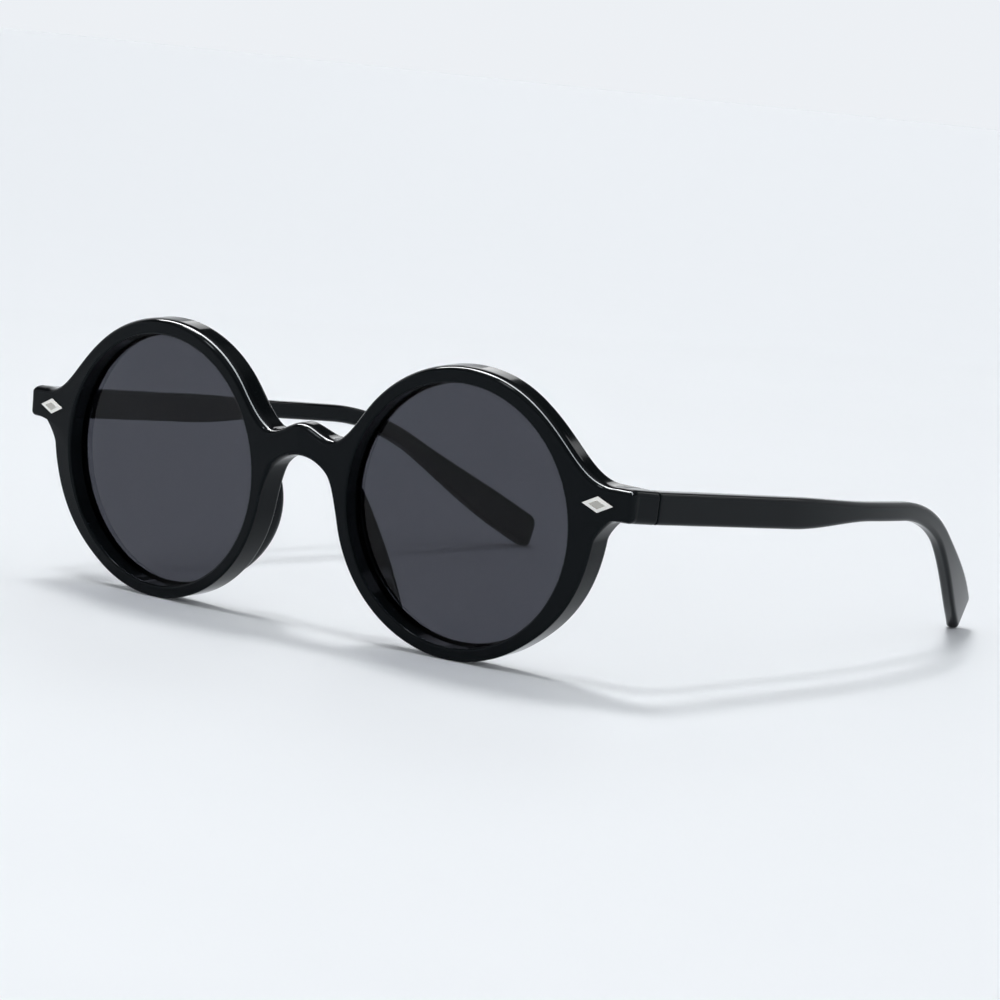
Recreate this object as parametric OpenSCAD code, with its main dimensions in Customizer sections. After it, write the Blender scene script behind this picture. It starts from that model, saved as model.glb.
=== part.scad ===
// Round sunglasses with a moulded front, two folding temples and diamond studs.
// Millimetres. Z is up, the front faces -Y and the temples run back along +Y.
// The glasses stand open on a table, on the rims and the tips of the temples.
// Left and right are the wearer's, so left is +X.

/* [Lenses] */
// Diameter of lens that shows inside the rim
sight_d = 48; // [42:0.5:52]
// Distance between the lens centres
lens_spacing = 70.8; // [68:0.2:78]
// Thickness of a lens
lens_t = 1.4; // [1:0.1:2]
// Depth of the front recess, from the rim's face to the lens
recess = 3.2; // [1.5:0.1:3.6]
// How far a lens reaches into its groove
lens_bite = 0.5; // [0.3:0.1:0.9]

/* [Front] */
// Width of the rim, seen from the front
rim_w = 2.7; // [2.3:0.1:4]
// Depth of the rim, front to back
rim_depth = 6.1; // [5.6:0.1:8]
// Turn of each lens towards its temple, in degrees
wrap = 3; // [0:0.5:6]
// Radius of the front's outer edge
edge_r = 1; // [0.5:0.05:1.1]
// Radius of the rim's back edge
back_r = 0.9; // [0.5:0.1:1.1]
// Height of the bridge's top over the lens centres
bridge_top = 12.2; // [11:0.1:15]
// Height of the bridge's arch over the lens centres
bridge_arch = 5.95; // [4:0.05:8]

/* [End pieces] */
// Overall width over the end pieces, at the hinge seams
front_w = 144.8; // [138:0.2:150]
// Height of the end pieces' middle over the lens centres, at the front
end_z = 6.5; // [3:0.1:9]
// Height of an end piece
end_h = 6; // [5.2:0.1:7.5]
// How far the end piece's corner lies behind the rim's face
end_sweep = 1.2; // [0.5:0.1:3]
// Length of the end piece from its front corner back to the seam
return_l = 7.3; // [7.2:0.1:10]
// Thickness of the end piece and of the temple at the seam
side_t = 3.8; // [3.4:0.1:4.6]

/* [Nose pads] */
// How far a pad stands out behind the rim
pad_h = 3.7; // [2:0.1:5]
// Thickness of a pad near its crest
pad_t = 2.8; // [2:0.1:3.6]

/* [Temples] */
// Length of a temple from the seam to its tip, along the middle
temple_l = 148; // [138:1:156]
// Slope of the hinge against the front, in degrees
pitch = 6.3; // [3:0.1:8]
// Further slope of the temple below the hinge's square, in degrees
droop = 0.8; // [0:0.1:3]
// Outward splay of the temples at the hinge, in degrees
splay = 3.2; // [1:0.1:5]
// Where the ear bend starts, along the temple
bend_at = 86; // [78:1:92]
// Length of the ear bend
bend_l = 26; // [20:1:34]
// Turn of the ear bend, in degrees
bend_a = 28; // [20:0.5:36]
// Where the temple starts to curve in towards the head
hug_at = 40; // [35:1:70]
// Radius of that inward curve
hug_r = 250; // [210:5:400]
// Height of the temple at its waist
waist_h = 3.7; // [3:0.1:5]
// Height of the paddle at its widest, near the tip
paddle_h = 7.4; // [5:0.1:8.5]
// Thickness of the temple behind its hinge
temple_t = 3; // [2.4:0.1:3.6]
// Edge radius of the temples
temple_r = 0.9; // [0.4:0.1:1.1]

/* [Hinges] */
// Diameter of a hinge knuckle
knuckle_d = 2.8; // [2.4:0.1:3.2]
// Height of the whole hinge barrel
barrel_h = 4.6; // [3.9:0.1:5]
// Diameter of the hinge screw
screw_d = 1.2; // [1:0.1:1.4]
// Thickness of a hinge leaf
leaf_t = 0.9; // [0.7:0.05:1.2]
// Height of a hinge leaf
leaf_h = 3.4; // [2.8:0.1:3.8]
// Length of the leaf in the temple
temple_leaf_l = 8; // [6:0.5:12]
// Length of the leaf in the front
front_leaf_l = 4; // [3.4:0.1:4.8]

/* [Studs] */
// Width of a diamond stud
stud_w = 6.3; // [4:0.1:7.5]
// Height of a diamond stud
stud_h = 3; // [2:0.1:4]
// How far a stud stands proud of the end piece
stud_proud = 0.45; // [0.2:0.05:0.9]
// Diameter of the stud's pin
stud_pin_d = 1.2; // [0.8:0.1:1.6]

/* [Hidden] */
$fn = 48;

black = "#15161a";
smoke = "#3b3d42cc";
silver = "#c9ccd0";

// Clearances of the seated and of the running fits
seat_gap = 0.05;
run_gap = 0.05;
seam_gap = 0.2;
lens_play = 0.12;
knuckle_gap = 0.3;

cx = lens_spacing / 2;
sight_r = sight_d / 2;
rim_r = sight_r + rim_w;
half_gap = cx - rim_r;
lip_r = 0.45;
back_lip = 0.4;
groove_r = sight_r + lens_bite + lens_play;
// Reach of the end piece from the lens centre, in the plane of that lens
end_u = (front_w / 2 - cx) / cos(wrap) - 0.5;
end_top = end_z + end_h / 2;
end_low = end_z - end_h / 2;
corner_r = 1.2;

function bezier(a, b, c, d, t) =
    pow(1 - t, 3) * a + 3 * t * pow(1 - t, 2) * b + 3 * t * t * (1 - t) * c + pow(t, 3) * d;
// Points of a cubic curve without its last one
function curve(a, b, c, d, n) = [for (i = [0:n - 1]) bezier(a, b, c, d, i / n)];
function arc(o, r, from, to, n) =
    [for (i = [0:n - 1]) let (q = from + (to - from) * i / n) o + r * [cos(q), sin(q)]];
// The rim's outer circle sits up and out from the lens, so the rim is deepest at the temple's side
rim_o = [0.25, 0.35];
function rim_at(q) = rim_o + rim_r * [cos(q), sin(q)];
// Direction of travel clockwise round the rim
function round_at(q) = [sin(q), -cos(q)];
function smooth(a, b, x) = let (t = max(0, min(1, (x - a) / (b - a)))) t * t * (3 - 2 * t);
function steps(from, to, n) = [for (i = [0:n - 1]) from + (to - from) * i / n];
function mirrored(points) = [for (p = points) [-p.x, p.y, p.z]];

// Closed solid through a list of rings with the same number of points
module loft(rings, closed = false) {
    m = len(rings);
    n = len(rings[0]);
    sides = [for (i = [0:m - (closed ? 1 : 2)], j = [0:n - 1])
        let (k = (i + 1) % m, l = (j + 1) % n)
        each [[i * n + j, k * n + j, k * n + l], [i * n + j, k * n + l, i * n + l]]];
    caps = closed ? [] : [[for (j = [0:n - 1]) j], [for (j = [0:n - 1]) m * n - 1 - j]];
    polyhedron([for (r = rings, p = r) p], concat(sides, caps), convexity = 8);
}

// Angles on the rim where the bridge and the end piece leave it
bridge_on = 143;
end_on = 48;
end_off = -58;
bridge_off = -168;
// Flats under the rim; one of them is the lowest, and the rim rests on it
under_n = 15;
// Angles round the lens that go with the middle of the bridge's top, down to its notch, and with
// the middle of its arch
top_spokes = [165.9, 165.6, 165.2, 162.5];
notch_spoke = 158.6;
arch_middle = -193.7;
// Place across the bridge, as a share of the gap between the rims, from the lens centre
function over(share, z) = [-cx / cos(wrap) + share * half_gap, z];
notch_z = bridge_top - 2.15;
arch_z = bridge_arch - 2.4;

// Inner face of the part that turns back to the hinge, as a reach from the lens centre
foot_u = end_u - side_t;
foot_step = 0.35;
foot_in = 1.4;

// Outline of the left half, clockwise from the top of the bridge
over_bridge = concat(
    curve(over(0, bridge_top), over(0.3, bridge_top), over(0.53, notch_z), over(0.84, notch_z), 4),
    curve(over(0.84, notch_z), over(1.1, notch_z), rim_at(bridge_on) - 4 * round_at(bridge_on),
        rim_at(bridge_on), 5),
    arc(rim_o, rim_r, bridge_on, end_on, 13));
into_end = curve(rim_at(end_on), rim_at(end_on) + 6.6 * round_at(end_on),
    [end_u - 11.4, end_top - 0.2], [foot_u - foot_step, end_top + 0.1], 8);
end_face = concat([[foot_u - foot_step, end_top + 0.1], [foot_u, end_top + 0.1]],
    arc([end_u - corner_r, end_top - corner_r], corner_r, 90, 0, 3), [[end_u, end_top - corner_r]],
    arc([end_u - corner_r, end_low + corner_r], corner_r, 0, -90, 3),
    [[end_u - corner_r, end_low], [foot_u, end_low], [foot_u - foot_step, end_low]]);
// Under the end piece the outline turns down and runs beside the rim before it joins it
beside = [end_u - 7.7, end_low - 4.35];
downward = [-0.16, -0.987];
out_of_end = concat(
    curve([foot_u - foot_step, end_low], [foot_u - 1, end_low], beside - 1.4 * downward, beside, 5),
    curve(beside, beside + 10 * downward, rim_at(end_off) - 10 * round_at(end_off), rim_at(end_off), 8));
under_bridge = concat(arc(rim_o, rim_r, end_off, bridge_off, under_n),
    curve(rim_at(bridge_off), rim_at(bridge_off) + 4.3 * round_at(bridge_off),
        over(0.87, arch_z - 1.1), over(0.72, arch_z), 4),
    curve(over(0.72, arch_z), over(0.55, arch_z + 1.35), over(0.3, bridge_arch),
        over(0, bridge_arch), 4),
    [over(0, bridge_arch)]);
outline = concat(over_bridge, into_end, end_face, [for (i = [1:len(out_of_end) - 1]) out_of_end[i]],
    under_bridge);
// Angles round the lens that go with the outline's points
spokes = concat(top_spokes, steps(notch_spoke, bridge_on, 5), steps(bridge_on, end_on, 13),
    steps(end_on, 20, 8), steps(20, 2, 12), steps(0, -5, 4), steps(-5, end_off, 8),
    steps(end_off, bridge_off, under_n), steps(bridge_off, arch_middle, 8), [arch_middle]);
last = len(outline) - 1;
// Places in the outline where the part that turns back starts and ends
foot_on = len(over_bridge) + len(into_end);
foot_off = foot_on + len(end_face) - 1;

// Outward direction at a point of the outline; the bridge's middle is level
function normal_at(i) =
    i == 0 ? [0, 1] : i == last ? [0, -1] :
    let (t = outline[i + 1] - outline[i - 1], w = t / norm(t)) [-w.y, w.x];
// Backward sweep of the front's face near the end piece
sweep_from = sight_r - 15;
function sweep(u) = end_sweep * pow(max(0, (u - sweep_from) / (end_u - sweep_from)), 2);

// From the frame of the left lens to the frame of the whole front
function to_front(u, y, z) = [cx + u * cos(wrap) - y * sin(wrap), u * sin(wrap) + y * cos(wrap), z];
module lens_frame() {
    translate([cx, 0, 0]) rotate([0, 0, wrap]) children();
}

// The seam: its middle on the outer face, in the frame of the front
seam_x = front_w / 2;
corner_y = end_u * sin(wrap) + end_sweep;
seam_y = corner_y + return_l;
seam_z = end_z - return_l * sin(pitch);
hinge_x = -side_t - knuckle_d / 2 - knuckle_gap;
module side_frame() {
    translate([seam_x, seam_y, seam_z]) rotate([-pitch, 0, -splay]) children();
}
function to_side(p) =
    let (y = p.y * cos(pitch) + p.z * sin(pitch), z = p.z * cos(pitch) - p.y * sin(pitch))
    [seam_x + p.x * cos(splay) + y * sin(splay), seam_y - p.x * sin(splay) + y * cos(splay), seam_z + z];

// Radius and depth of the lens opening's wall, front to back
wall = [[sight_r + lip_r, 0], [sight_r, lip_r], [sight_r, recess - seat_gap],
    [groove_r, recess - seat_gap], [groove_r, recess + lens_t + seat_gap],
    [sight_r - back_lip, recess + lens_t + seat_gap], [sight_r - back_lip, recess + lens_t + 0.4]];
// Where the opening, which flares behind the lens, meets the back of the rim, and where it would
// meet it with no flare, as behind the nose pads
flare_r = rim_r - back_r - 0.65;
flare_end = [flare_r, rim_depth];
plain_end = [sight_r + 0.1, rim_depth];
// Radius and depth of the nose pad's ridge where it is highest, from the lens outwards
pad_crest = rim_depth + pad_h;
pad_ridge = [[sight_r - 1.3, pad_crest - 1.5], [sight_r - 0.9, pad_crest - 0.35],
    [sight_r - 1.3 + pad_t * 0.6, pad_crest], [sight_r - 1.3 + pad_t, pad_crest - 0.9]];
// Angles between which the ridge follows the rim, on the side of the nose
pad_from = -124;
pad_to = -184;
function swell(q) = let (t = (q - pad_from) / (pad_to - pad_from))
    t <= 0 || t >= 1 ? 0 : pow(sin(180 * t), 0.7);
// Inset and depth of the outer wall, back to front
back_skin = [[back_r, rim_depth], [back_r * 0.3, rim_depth - back_r * 0.3], [0, rim_depth - back_r]];
front_skin = [[0, edge_r], [edge_r * 0.3, edge_r * 0.3], [edge_r, 0]];
// Inset and distance before the seam of the edge that meets the temple
seam_skin = [[0.3, 0], [0.1, -0.1], [0, -0.3]];

function spoke_point(i, r, y) = to_front(r * cos(spokes[i]), y, r * sin(spokes[i]));
// The bridge is thinner than the rims: its back lies further forward, most so in the middle
bridge_thin = 1.2;
bridge_reach = 9;
function back_depth(u) = rim_depth - bridge_thin * smooth(bridge_reach, 0, u + cx / cos(wrap));
function skin_point(i, s) =
    let (q = outline[i] - s[0] * normal_at(i), y = s[1] > rim_depth / 2 ? s[1] - rim_depth + back_depth(q.x) : s[1],
        p = to_front(q.x, y + sweep(q.x), q.y))
    i == 0 || i == last ? [0, p.y, p.z] : p;
// From a place on the end piece's outline to a place before the seam
function seam_point(q, back) = to_side([q.x - end_u, back, q.y - end_z]);
function on_foot(i) = i >= foot_on && i <= foot_off;
function turns_back(i) = i > foot_on && i < foot_off;
// Inner edge of the part that turns back, and its root on the back of the end piece
function foot_at(i) = [min(outline[i].x, foot_u),
    end_top - foot_in - (end_h - 2 * foot_in) * (i - foot_on) / (foot_off - foot_on)];
root_l = seam_y - to_front(foot_u, rim_depth + sweep(foot_u), 0).y;
function pad_points(i) = let (g = swell(spokes[i]), end = flare_end + g * (plain_end - flare_end))
    [spoke_point(i, end[0], end[1]), for (k = [0:3])
        let (flat = [flare_r + 0.03 + 0.03 * k, rim_depth], p = flat + g * (pad_ridge[k] - flat))
            spoke_point(i, p[0], p[1])];
function step_points(i) =
    let (f = foot_at(i), low = to_front(f.x, rim_depth + sweep(f.x), f.y),
        a = spoke_point(i, flare_r + 0.15, rim_depth), b = skin_point(i, back_skin[0]))
    turns_back(i) ? [seam_point(f, -root_l), seam_point(f, 0)] : on_foot(i) ? [low, (b + low) / 2] :
        [a + (b - a) / 3, b - (b - a) / 3];
function section(i) = concat([for (w = wall) spoke_point(i, w[0], w[1])], pad_points(i), step_points(i),
    turns_back(i) ? [for (s = seam_skin) seam_point(outline[i] - s[0] * normal_at(i), s[1])] :
        [for (s = back_skin) skin_point(i, s)],
    [for (s = front_skin) skin_point(i, s)]);
half_front = [for (i = [0:last]) section(i)];
ring = len(half_front[0]);
skin_on = ring - 6;

// Middle line of a temple, from the seam, in the frame of the side
bend_r = bend_l / (bend_a * PI / 180);
function slope_at(s) = droop + bend_a * max(0, min(1, (s - bend_at) / bend_l));
function run_at(s) = min(s, bend_at) * cos(droop) + bend_r * (sin(slope_at(s)) - sin(droop))
    + max(0, s - bend_at - bend_l) * cos(slope_at(s));
function drop_at(s) = min(s, bend_at) * sin(droop) + bend_r * (cos(droop) - cos(slope_at(s)))
    + max(0, s - bend_at - bend_l) * sin(slope_at(s));
function hug(s) = pow(max(0, s - hug_at), 2) / (2 * hug_r);
// From here to there a temple draws in from the hinge to its waist, mostly from below
waist_from = 43;
waist_to = bend_at - 15;
waist_lift = 0.6;
thin_from = 12;
thin_to = 55;
// The paddle spreads over this stretch
paddle_from = bend_at + bend_l - 5;
paddle_to = temple_l - 8;
start_h = end_h - 0.1;
start_t = side_t - 0.1;
function height_at(s) = start_h + (waist_h - start_h) * smooth(waist_from, waist_to, s)
    + (paddle_h - waist_h) * smooth(paddle_from, paddle_to, s);
function lift_at(s) = waist_lift * smooth(waist_from, waist_to, s) * smooth(paddle_to, paddle_from, s);
function thick_at(s) = start_t + (temple_t - start_t) * smooth(thin_from, thin_to, s);
// The tip is cut at a slant: its upper edge is the shorter one
tip_slant = 0.45;
slant_from = temple_l - 14;
function slant_at(s) = tip_slant * smooth(slant_from, temple_l, s);
// Ring of a temple at s: a rounded rectangle, drawn in by cut at the tip
function temple_ring(s, cut = 0) =
    let (h = height_at(s) - 2 * cut, t = thick_at(s) - 1.4 * cut, r = min(temple_r, 0.45 * t, 0.45 * h))
    [for (k = [15:-1:0]) let (c = floor(k / 4), q = c * 90 + (k % 4) * 30, sx = c == 0 || c == 3 ? 1 : -1,
            sz = c < 2 ? 1 : -1, x = sx * (t / 2 - r) + r * cos(q), v = sz * (h / 2 - r) + r * sin(q),
            along = s - slant_at(s) * (v + h / 2), up = v + lift_at(s))
        to_side([x - t / 2 - 0.7 * cut - hug(along), run_at(along) + up * sin(slope_at(s)),
            -drop_at(along) + up * cos(slope_at(s))])];
// Distance of the last rings from the tip, and how far each is drawn in
tip_cuts = [[2.2, 0], [1.2, 0.25], [0.45, 0.8], [0, 1.6]];
temple_rings = concat(
    [for (s = concat([seam_gap], [for (s = [6:6:bend_at - 1]) s])) temple_ring(s)],
    [for (s = steps(bend_at, temple_l - 3, 20)) temple_ring(s)],
    [for (c = tip_cuts) temple_ring(temple_l - c[0], c[1])]);

// Lean that sets the rims and the tips on the same level
front_points = [for (r = half_front, p = r) p];
temple_points = [for (r = temple_rings, p = r) p];
function lowest(points, a) = min([for (p = points) p.y * sin(a) + p.z * cos(a)]);
reach = temple_l * 0.93;
lean_guess = asin((lowest(front_points, 0) - lowest(temple_points, 0)) / reach);
function step_lean(a) = a + asin((lowest(front_points, a) - lowest(temple_points, a)) / reach);
lean = step_lean(step_lean(step_lean(lean_guess)));
function leaned_y(points) = [for (p = points) p.y * cos(lean) - p.z * sin(lean)];
stand_z = -lowest(front_points, lean);
stand_y = -(min(leaned_y(front_points)) + max(leaned_y(temple_points))) / 2;
module stand(side = 1) {
    translate([0, stand_y, stand_z]) rotate([lean, 0, 0]) mirror([side < 0 ? 1 : 0, 0, 0]) children();
}

// Front moulding without its seats: both halves share the points of the bridge's middle
module front_shell() {
    n = ring;
    half = (last + 1) * n;
    // Number of a point of the right half, which has none of its own in the middle
    function other(i, j) = (i == 0 || i == last) && j >= skin_on ? i * n + j : half + i * n + j;
    quads = [for (i = [0:last], j = [0:n - 1]) if (i < last || j < skin_on || j == n - 1)
        let (k = (i + 1) % (last + 1), l = (j + 1) % n) [[i, j], [k, j], [k, l], [i, l]]];
    left = [for (q = quads) let (v = [for (c = q) c[0] * n + c[1]])
        each [[v[0], v[1], v[2]], [v[0], v[2], v[3]]]];
    right = [for (q = quads) let (v = [for (c = q) other(c[0], c[1])])
        each [[v[2], v[1], v[0]], [v[3], v[2], v[0]]]];
    polyhedron(concat(front_points, mirrored(front_points)), concat(left, right), convexity = 10);
}

// Place of a stud on the end piece's sloping face
stud_u = (sight_r + end_u) / 2 - 0.55;
stud_z = end_z - 0.15;
stud_tilt = atan(2 * end_sweep * (stud_u - sweep_from) / pow(end_u - sweep_from, 2));
module stud_frame() {
    lens_frame() translate([stud_u, sweep(stud_u), stud_z]) rotate([0, 0, stud_tilt]) rotate([90, 0, 0])
        children();
}
module diamond(w, h) {
    polygon([[w / 2, 0], [0, h / 2], [-w / 2, 0], [0, -h / 2]]);
}
stud_seat = 0.3;
stud_pin_l = 2.6;

// Seats cut in the front: the stud with its pin, and the hinge leaf
module front_seats() {
    stud_frame() {
        translate([0, 0, -stud_seat]) linear_extrude(height = 2) diamond(stud_w + 0.15, stud_h + 0.1);
        translate([0, 0, -stud_seat - stud_pin_l - 0.2])
            cylinder(d = stud_pin_d + 2 * seat_gap, h = stud_pin_l + 0.5);
    }
    side_frame() leaf_pocket(-1, front_leaf_l);
}
module front_frame() {
    color(black) stand() difference() {
        front_shell();
        front_seats();
        mirror([1, 0, 0]) front_seats();
    }
}

module lens() {
    rim = sight_r + lens_bite;
    color(smoke) lens_frame() rotate([-90, 0, 0]) rotate_extrude($fn = 96)
        polygon([[0, recess], [rim - 0.25, recess], [rim, recess + lens_t / 2],
            [rim - 0.25, recess + lens_t], [0, recess + lens_t]]);
}

// Diamond stud: bevelled head on a round pin
module stud() {
    table = 0.5;
    top = stud_proud + stud_seat;
    edge = 0.12;
    rhomb = function (k, z) [[k * stud_w / 2, 0, z], [0, k * stud_h / 2, z], [-k * stud_w / 2, 0, z],
        [0, -k * stud_h / 2, z]];
    color(silver) stud_frame() translate([0, 0, -stud_seat]) {
        loft([rhomb(1, 0), rhomb(1, stud_seat + edge), rhomb(table, top)]);
        translate([0, 0, -stud_pin_l]) cylinder(d = stud_pin_d, h = stud_pin_l + 0.2);
    }
}

// Pocket on the inner face for a hinge leaf; way is -1 in the front and 1 in the temple
module leaf_pocket(way, l) {
    translate([-side_t - pocket_mouth, way < 0 ? -l - seat_gap : -0.5, -leaf_h / 2 - seat_gap])
        cube([leaf_t + pocket_mouth + seat_gap, l + 0.5 + seat_gap, leaf_h + 2 * seat_gap]);
    for (k = way < 0 ? [0.62] : [0.35, 0.78])
        translate([-side_t, way * k * l, 0]) rotate([0, 90, 0])
            cylinder(d = peg_d + 2 * seat_gap, h = leaf_t + peg_l + seat_gap);
}
pocket_mouth = 0.9;
peg_d = 1.1;
peg_l = 1.3;
knuckle_r = knuckle_d / 2;
middle_h = barrel_h / 3;

// Leaf with its plate let into the inner face, its pegs and its arm to the axis
module leaf(way, l, arms) {
    start = way < 0 ? -l : seam_gap + 0.05;
    translate([-side_t, start, -leaf_h / 2]) cube([leaf_t, l - (way < 0 ? 0.05 : seam_gap + 0.05), leaf_h]);
    for (k = way < 0 ? [0.62] : [0.35, 0.78])
        translate([-side_t + leaf_t / 2, way * k * l, 0]) rotate([0, 90, 0])
            cylinder(d = peg_d, h = leaf_t / 2 + peg_l);
    for (a = arms) difference() {
        union() {
            translate([hinge_x, hinge_y, a[0]]) cylinder(r = knuckle_r, h = a[1]);
            translate([hinge_x, way < 0 ? hinge_y - knuckle_r + 0.3 : hinge_y + 0.2, max(a[0], -leaf_h / 2)])
                cube([-hinge_x - side_t + leaf_t, knuckle_r - 0.5,
                    min(a[0] + a[1], leaf_h / 2) - max(a[0], -leaf_h / 2)]);
        }
        translate([hinge_x, hinge_y, a[0] - 1]) cylinder(d = screw_d + 2 * run_gap, h = a[1] + 2);
    }
}
hinge_y = seam_gap / 2;

module front_leaf() {
    color(silver) side_frame() difference() {
        leaf(-1, front_leaf_l, [[-barrel_h / 2, middle_h - run_gap],
            [middle_h / 2 + run_gap, middle_h - run_gap]]);
        translate([hinge_x, hinge_y, barrel_h / 2 - head_sink]) cylinder(d = head_d + 2 * run_gap, h = 1);
    }
}
module temple_leaf() {
    color(silver) side_frame() leaf(1, temple_leaf_l, [[-middle_h / 2, middle_h]]);
}

head_d = screw_d + 0.8;
head_h = 0.6;
head_sink = 0.45;
// Hinge screw with a slotted head, from the top of the barrel to its foot
module screw() {
    color(silver) side_frame() translate([hinge_x, hinge_y, 0]) difference() {
        union() {
            translate([0, 0, -barrel_h / 2]) cylinder(d = screw_d, h = barrel_h - head_sink + 0.1);
            translate([0, 0, barrel_h / 2 - head_sink]) cylinder(d = head_d, h = head_h);
        }
        translate([-head_d, -0.14, barrel_h / 2 - head_sink + head_h - 0.28]) cube([2 * head_d, 0.28, 1]);
    }
}

// Temple: one moulding, with the pocket of its hinge leaf
module temple() {
    color(black) difference() {
        loft(temple_rings);
        side_frame() leaf_pocket(1, temple_leaf_l);
    }
}

front_frame();
stand() lens();  // lens_left
stand(-1) lens();  // lens_right
stand() stud();  // stud_left
stand(-1) stud();  // stud_right
stand() front_leaf();  // hinge_front_leaf_left
stand(-1) front_leaf();  // hinge_front_leaf_right
stand() temple_leaf();  // hinge_temple_leaf_left
stand(-1) temple_leaf();  // hinge_temple_leaf_right
stand() screw();  // hinge_screw_left
stand(-1) screw();  // hinge_screw_right
stand() temple();  // temple_left
stand(-1) temple();  // temple_right
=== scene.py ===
# Round sunglasses: black moulded front and temples, smoke-grey lenses, silver studs, steel hinges.
# Sizes are in millimetres in the front's own frame: X to the wearer's left, Y back, Z up, with the
# lens centres at Z 0. stand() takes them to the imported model's frame, where the lenses say it is.
import math

import bmesh
import bpy
import numpy as np
from mathutils import Matrix, Vector


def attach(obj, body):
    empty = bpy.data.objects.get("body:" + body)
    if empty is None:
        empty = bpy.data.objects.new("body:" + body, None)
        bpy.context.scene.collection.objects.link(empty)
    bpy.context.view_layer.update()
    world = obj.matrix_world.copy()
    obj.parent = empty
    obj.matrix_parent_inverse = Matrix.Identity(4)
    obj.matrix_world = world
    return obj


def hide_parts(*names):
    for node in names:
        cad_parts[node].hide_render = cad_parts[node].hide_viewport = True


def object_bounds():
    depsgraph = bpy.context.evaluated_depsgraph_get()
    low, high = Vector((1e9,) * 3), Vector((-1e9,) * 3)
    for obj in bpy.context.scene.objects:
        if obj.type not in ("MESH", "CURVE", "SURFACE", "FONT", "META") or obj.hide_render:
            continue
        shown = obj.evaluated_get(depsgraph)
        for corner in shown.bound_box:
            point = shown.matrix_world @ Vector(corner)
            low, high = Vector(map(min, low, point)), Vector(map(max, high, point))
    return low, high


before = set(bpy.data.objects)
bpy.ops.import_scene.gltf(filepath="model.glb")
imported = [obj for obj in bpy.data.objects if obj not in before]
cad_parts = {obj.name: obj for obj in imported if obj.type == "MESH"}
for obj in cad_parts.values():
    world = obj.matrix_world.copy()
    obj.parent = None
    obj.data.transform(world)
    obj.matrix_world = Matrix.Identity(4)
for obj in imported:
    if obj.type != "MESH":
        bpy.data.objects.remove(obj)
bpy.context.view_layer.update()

# Lenses: flat discs cut from a tinted polycarbonate sheet, bevelled and snapped into the rim's groove.
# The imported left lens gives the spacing, the wrap of the lenses and the lean of the whole front.
MM = 0.001
SIGHT_R = 24.0  # radius of the opening in front of the lens
LENS_BITE = 0.5  # how far the lens reaches into its groove
LENS_T = 1.4
RECESS = 3.2  # from the rim's face back to the lens
LENS_BEVEL = 0.25


def disc_frame(node):
    """Middle of a packed disc in millimetres, and its axis, the line of least spread, pointing back."""
    flat = np.empty(len(node.data.vertices) * 3)
    node.data.vertices.foreach_get("co", flat)
    points = flat.reshape(-1, 3) / MM
    middle = (points.min(0) + points.max(0)) / 2
    edge = points[np.linalg.norm(points - middle, axis=1) > SIGHT_R] - middle
    axis = np.linalg.svd(edge, full_matrices=False)[2][2]
    return middle, axis * np.sign(axis[1])


lens_middle, lens_axis = disc_frame(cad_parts["lens_left"])
WRAP = -math.asin(lens_axis[0])
LEAN = math.atan2(lens_axis[2], lens_axis[1])
lens_front = lens_middle - (RECESS + LENS_T / 2) * lens_axis
CX = lens_front[0]


def to_front(u, y, z):
    """From the left lens's frame to the front's: turned by the wrap about Z, then CX along X."""
    c, s = math.cos(WRAP), math.sin(WRAP)
    return np.stack(np.broadcast_arrays(CX + u * c - y * s, u * s + y * c, z), -1)


def leaned(points):
    """Turned by the lean about X: y cos - z sin, y sin + z cos."""
    x, y, z = np.moveaxis(np.asarray(points, float), -1, 0)
    c, s = math.cos(LEAN), math.sin(LEAN)
    return np.stack([x, y * c - z * s, y * s + z * c], -1)


STAND = lens_front - leaned([CX, 0, 0])


def stand(points):
    """From the front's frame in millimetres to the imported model's frame in metres."""
    return (leaned(points) + STAND) * MM


def srgb(code):
    """Linear colour of a hex code: ((c + 0.055) / 1.055) ** 2.4, or c / 12.92 below 0.04045."""
    c = np.array([int(code[k:k + 2], 16) for k in (1, 3, 5)]) / 255
    return (*np.where(c > 0.04045, ((c + 0.055) / 1.055) ** 2.4, c / 12.92), 1.0)


def feed(tree, node, **inputs):
    """Sets a node's inputs; each takes a value, or is linked to another node's output."""
    for key, value in inputs.items():
        socket = node.inputs[key.replace("_", " ")]
        if isinstance(value, bpy.types.NodeSocket):
            tree.links.new(value, socket)
        else:
            socket.default_value = value
    return node


def material(name):
    """A new material, and its tree, which holds a Principled shader."""
    made = bpy.data.materials.new(name)
    made.use_nodes = True
    return made, made.node_tree


def mesh_of(name, points, faces, sharp):
    """A mesh with its faces turned outwards, smooth but for edges that turn by more than sharp degrees."""
    mesh = bpy.data.meshes.new(name)
    mesh.from_pydata(np.asarray(points, float).reshape(-1, 3).tolist(), [], [list(f) for f in faces])
    work = bmesh.new()
    work.from_mesh(mesh)
    bmesh.ops.remove_doubles(work, verts=work.verts, dist=1e-7)
    bmesh.ops.recalc_face_normals(work, faces=work.faces)
    work.to_mesh(mesh)
    work.free()
    smoothed(mesh, sharp)
    return mesh


def smoothed(mesh, sharp):
    """Smooth shading, with edges over the sharp angle in degrees kept."""
    mesh.polygons.foreach_set("use_smooth", np.ones(len(mesh.polygons), bool))
    mesh.set_sharp_from_angle(angle=math.radians(sharp))
    mesh.update()


def mounted(mesh, finish, body, slot, *nodes):
    """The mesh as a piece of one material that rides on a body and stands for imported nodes."""
    mesh.materials.clear()
    mesh.materials.append(finish)
    piece = bpy.data.objects.new(mesh.name, mesh)
    bpy.context.scene.collection.objects.link(piece)
    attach(piece, body)
    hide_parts(*nodes)
    return piece


def both_sides(points):
    """A left-hand shape and its mirror image, with the side that each is for."""
    return (("left", np.asarray(points)), ("right", np.asarray(points) * [-1, 1, 1]))


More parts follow.
